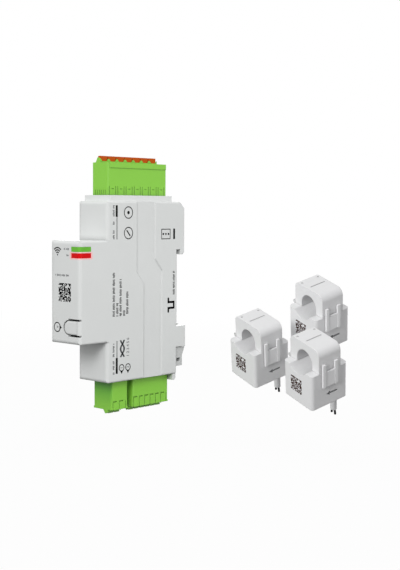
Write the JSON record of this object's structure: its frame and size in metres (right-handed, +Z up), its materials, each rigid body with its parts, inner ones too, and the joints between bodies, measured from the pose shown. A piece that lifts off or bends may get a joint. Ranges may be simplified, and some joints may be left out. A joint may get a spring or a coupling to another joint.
{
  "type": "smart energy monitor",
  "caption": "Slim rail-mounted energy meter with plug-in lever terminals, status windows and a reset button, with split-core current transformers that clip round conductors.",
  "frame": {"origin": "middle of the module's width on the rail's centre line, in the plane of the rail seat", "axes": "+X to the module's right side, +Y from the front towards the rail, +Z up"},
  "size_m": [0.1052, 0.1096, 0.1152],
  "materials": {
    "housing_grey": "fine moulded texture",
    "cover_grey": "fine moulded texture",
    "pipe_green": "clear tinted",
    "pipe_red": "clear tinted",
    "board_green": "solder mask",
    "chip_black": "moulded",
    "can_metal": "drawn",
    "lamp_clear": "clear",
    "bobbin_yellow": "taped",
    "plug_green": "moulded",
    "pin_gold": "plated",
    "contact_tin": "tinned",
    "clip_grey": "moulded",
    "lever_orange": "moulded",
    "lever_green": "moulded",
    "ct_white": "smooth moulded",
    "ferrite_dark": "ground",
    "coil_copper": "enamelled wire",
    "lead_white": "smooth sheath",
    "wire_black": "smooth"
  },
  "bodies": {
    "module": {"housing": "housing_grey", "cover": "cover_grey", "pipe_green": "pipe_green", "pipe_red": "pipe_red", "main_board": "board_green", "radio_module": "can_metal", "meter_chip": "chip_black", "push_switch": "chip_black", "status_lamps": "lamp_clear", "capacitor": "can_metal", "supply_transformer": "bobbin_yellow", "power_header": "plug_green", "bus_header": "plug_green", "sense_header": "plug_green", "header_pins": "pin_gold", "ct_1_base": "ct_white", "ct_2_base": "ct_white", "ct_3_base": "ct_white", "ct_1_lower_core": "ferrite_dark", "ct_2_lower_core": "ferrite_dark", "ct_3_lower_core": "ferrite_dark", "ct_1_coil": "coil_copper", "ct_2_coil": "coil_copper", "ct_3_coil": "coil_copper", "ct_1_lead": "lead_white", "ct_2_lead": "lead_white", "ct_3_lead": "lead_white", "lead_wires": "wire_black"},
    "rail_clip": {"rail_clip": "clip_grey"},
    "reset_button": {"reset_button": "housing_grey"},
    "power_plug": {"power_plug": "plug_green", "power_contacts": "contact_tin"},
    "bus_plug": {"bus_plug": "plug_green", "bus_contacts": "contact_tin"},
    "sense_plug": {"sense_plug": "plug_green", "sense_contacts": "contact_tin"},
    "power_lever_1": {"power_lever_1": "lever_orange"},
    "power_lever_2": {"power_lever_2": "lever_orange"},
    "power_lever_3": {"power_lever_3": "lever_orange"},
    "power_lever_4": {"power_lever_4": "lever_orange"},
    "power_lever_5": {"power_lever_5": "lever_orange"},
    "power_lever_6": {"power_lever_6": "lever_orange"},
    "power_lever_7": {"power_lever_7": "lever_orange"},
    "bus_lever_1": {"bus_lever_1": "lever_green"},
    "bus_lever_2": {"bus_lever_2": "lever_green"},
    "sense_lever_1": {"sense_lever_1": "lever_green"},
    "sense_lever_2": {"sense_lever_2": "lever_green"},
    "sense_lever_3": {"sense_lever_3": "lever_green"},
    "sense_lever_4": {"sense_lever_4": "lever_green"},
    "sense_lever_5": {"sense_lever_5": "lever_green"},
    "sense_lever_6": {"sense_lever_6": "lever_green"},
    "ct_1_jaw": {"ct_1_jaw": "ct_white", "ct_1_upper_core": "ferrite_dark"},
    "ct_1_latch": {"ct_1_latch": "ct_white"},
    "ct_2_jaw": {"ct_2_jaw": "ct_white", "ct_2_upper_core": "ferrite_dark"},
    "ct_2_latch": {"ct_2_latch": "ct_white"},
    "ct_3_jaw": {"ct_3_jaw": "ct_white", "ct_3_upper_core": "ferrite_dark"},
    "ct_3_latch": {"ct_3_latch": "ct_white"}
  },
  "joints": [
    {"name": "rail_clip_slide", "type": "slide", "parent": "module", "child": "rail_clip", "axis": [0, 0, -1], "range_m": [0, 0.004], "stiffness_N_per_m": 600, "springref_m": -0.001},
    {"name": "reset_press", "type": "hinge", "parent": "module", "child": "reset_button", "pos_m": [0.0078, -0.0584, -0.0147], "axis": [0, 0, -1], "range_deg": [0, 3], "stiffness_Nm_per_rad": 0.2},
    {"name": "power_unplug", "type": "slide", "parent": "module", "child": "power_plug", "axis": [0, 0, 1], "range_m": [0, 0.012]},
    {"name": "bus_unplug", "type": "slide", "parent": "module", "child": "bus_plug", "axis": [0, 0, -1], "range_m": [0, 0.012]},
    {"name": "sense_unplug", "type": "slide", "parent": "module", "child": "sense_plug", "axis": [0, 0, -1], "range_m": [0, 0.012]},
    {"name": "power_lever_1_press", "type": "slide", "parent": "power_plug", "child": "power_lever_1", "axis": [0, 0, -1], "range_m": [0, 0.0008], "stiffness_N_per_m": 300},
    {"name": "power_lever_2_press", "type": "slide", "parent": "power_plug", "child": "power_lever_2", "axis": [0, 0, -1], "range_m": [0, 0.0008], "stiffness_N_per_m": 300},
    {"name": "power_lever_3_press", "type": "slide", "parent": "power_plug", "child": "power_lever_3", "axis": [0, 0, -1], "range_m": [0, 0.0008], "stiffness_N_per_m": 300},
    {"name": "power_lever_4_press", "type": "slide", "parent": "power_plug", "child": "power_lever_4", "axis": [0, 0, -1], "range_m": [0, 0.0008], "stiffness_N_per_m": 300},
    {"name": "power_lever_5_press", "type": "slide", "parent": "power_plug", "child": "power_lever_5", "axis": [0, 0, -1], "range_m": [0, 0.0008], "stiffness_N_per_m": 300},
    {"name": "power_lever_6_press", "type": "slide", "parent": "power_plug", "child": "power_lever_6", "axis": [0, 0, -1], "range_m": [0, 0.0008], "stiffness_N_per_m": 300},
    {"name": "power_lever_7_press", "type": "slide", "parent": "power_plug", "child": "power_lever_7", "axis": [0, 0, -1], "range_m": [0, 0.0008], "stiffness_N_per_m": 300},
    {"name": "bus_lever_1_press", "type": "slide", "parent": "bus_plug", "child": "bus_lever_1", "axis": [0, 0, 1], "range_m": [0, 0.0008], "stiffness_N_per_m": 300},
    {"name": "bus_lever_2_press", "type": "slide", "parent": "bus_plug", "child": "bus_lever_2", "axis": [0, 0, 1], "range_m": [0, 0.0008], "stiffness_N_per_m": 300},
    {"name": "sense_lever_1_press", "type": "slide", "parent": "sense_plug", "child": "sense_lever_1", "axis": [0, 0, 1], "range_m": [0, 0.0008], "stiffness_N_per_m": 300},
    {"name": "sense_lever_2_press", "type": "slide", "parent": "sense_plug", "child": "sense_lever_2", "axis": [0, 0, 1], "range_m": [0, 0.0008], "stiffness_N_per_m": 300},
    {"name": "sense_lever_3_press", "type": "slide", "parent": "sense_plug", "child": "sense_lever_3", "axis": [0, 0, 1], "range_m": [0, 0.0008], "stiffness_N_per_m": 300},
    {"name": "sense_lever_4_press", "type": "slide", "parent": "sense_plug", "child": "sense_lever_4", "axis": [0, 0, 1], "range_m": [0, 0.0008], "stiffness_N_per_m": 300},
    {"name": "sense_lever_5_press", "type": "slide", "parent": "sense_plug", "child": "sense_lever_5", "axis": [0, 0, 1], "range_m": [0, 0.0008], "stiffness_N_per_m": 300},
    {"name": "sense_lever_6_press", "type": "slide", "parent": "sense_plug", "child": "sense_lever_6", "axis": [0, 0, 1], "range_m": [0, 0.0008], "stiffness_N_per_m": 300},
    {"name": "ct_1_open", "type": "hinge", "parent": "module", "child": "ct_1_jaw", "pos_m": [0.03913, 0.01441, -0.01869], "axis": [-0.2711, -0.9191, -0.286], "range_deg": [0, 90]},
    {"name": "ct_1_release", "type": "hinge", "parent": "ct_1_jaw", "child": "ct_1_latch", "pos_m": [0.05951, 0.00916, -0.02115], "axis": [-0.2711, -0.9191, -0.286], "range_deg": [0, 12], "stiffness_Nm_per_rad": 0.05},
    {"name": "ct_2_open", "type": "hinge", "parent": "module", "child": "ct_2_jaw", "pos_m": [0.07317, 0.01112, -0.02433], "axis": [-0.2711, -0.9191, -0.286], "range_deg": [0, 90]},
    {"name": "ct_2_release", "type": "hinge", "parent": "ct_2_jaw", "child": "ct_2_latch", "pos_m": [0.09355, 0.00588, -0.02679], "axis": [-0.2711, -0.9191, -0.286], "range_deg": [0, 12], "stiffness_Nm_per_rad": 0.05},
    {"name": "ct_3_open", "type": "hinge", "parent": "module", "child": "ct_3_jaw", "pos_m": [0.05712, 0.03502, -0.00338], "axis": [-0.2711, -0.9191, -0.286], "range_deg": [0, 90]},
    {"name": "ct_3_release", "type": "hinge", "parent": "ct_3_jaw", "child": "ct_3_latch", "pos_m": [0.0775, 0.02977, -0.00584], "axis": [-0.2711, -0.9191, -0.286], "range_deg": [0, 12], "stiffness_Nm_per_rad": 0.05}
  ]
}
